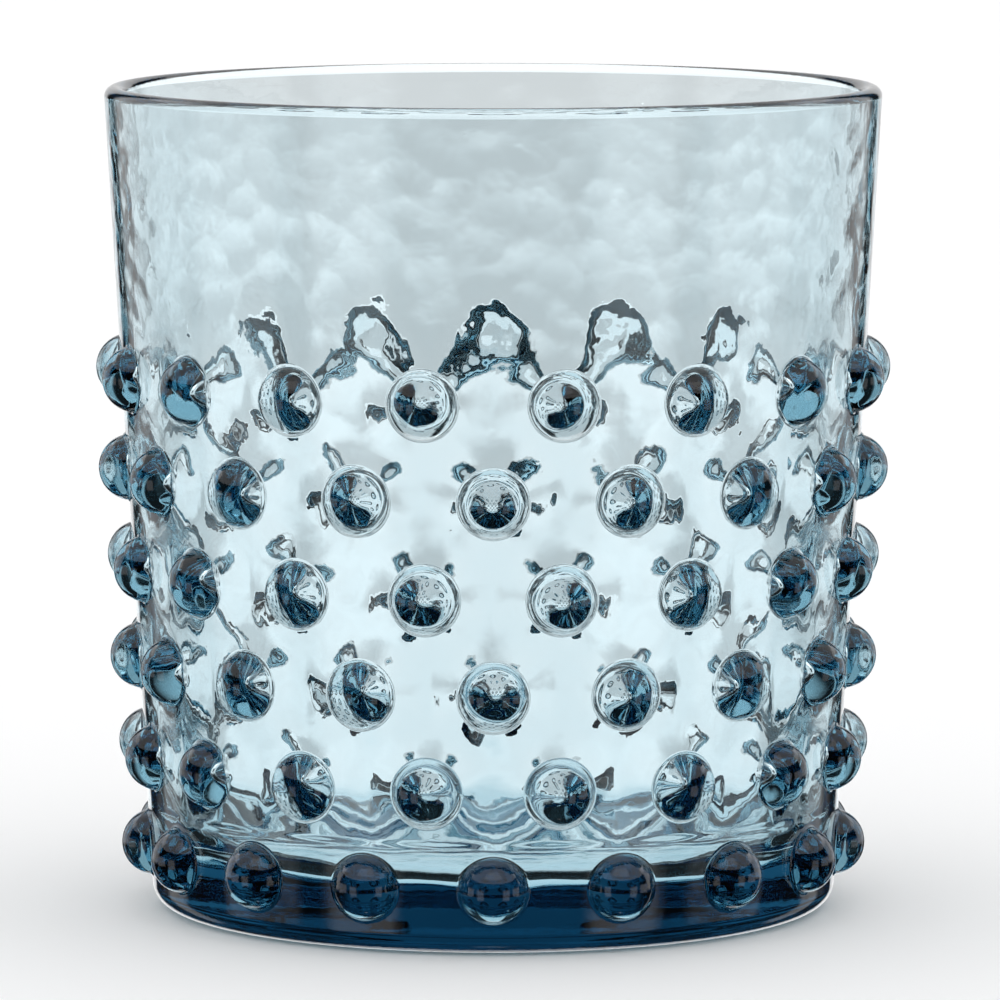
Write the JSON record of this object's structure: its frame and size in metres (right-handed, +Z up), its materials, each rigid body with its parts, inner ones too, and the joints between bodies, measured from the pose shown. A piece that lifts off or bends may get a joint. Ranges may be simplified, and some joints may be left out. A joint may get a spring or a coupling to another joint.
{
  "type": "hobnail glass tumbler",
  "caption": "Short round drinking tumbler of pale blue pressed glass with a thick base, a plain band under the rim and staggered rows of round knobs for grip.",
  "frame": {"origin": "centre of the foot, on the surface the glass stands on", "axes": "+Z up along the axis of the glass, towards the open rim; -Y is the front, where a knob of every even row stands"},
  "size_m": [0.0874, 0.0872, 0.09],
  "materials": {
    "blue_glass": "clear glossy pressed glass, pale blue through its thickness, fire polished"
  },
  "bodies": {
    "root": {"base": "blue_glass", "hobnail_band_wall": "blue_glass", "plain_band_wall": "blue_glass", "rim_lip": "blue_glass", "hobnails_row_1": "blue_glass", "hobnails_row_2": "blue_glass", "hobnails_row_3": "blue_glass", "hobnails_row_4": "blue_glass", "hobnails_row_5": "blue_glass", "hobnails_row_6": "blue_glass"}
  },
  "joints": []
}
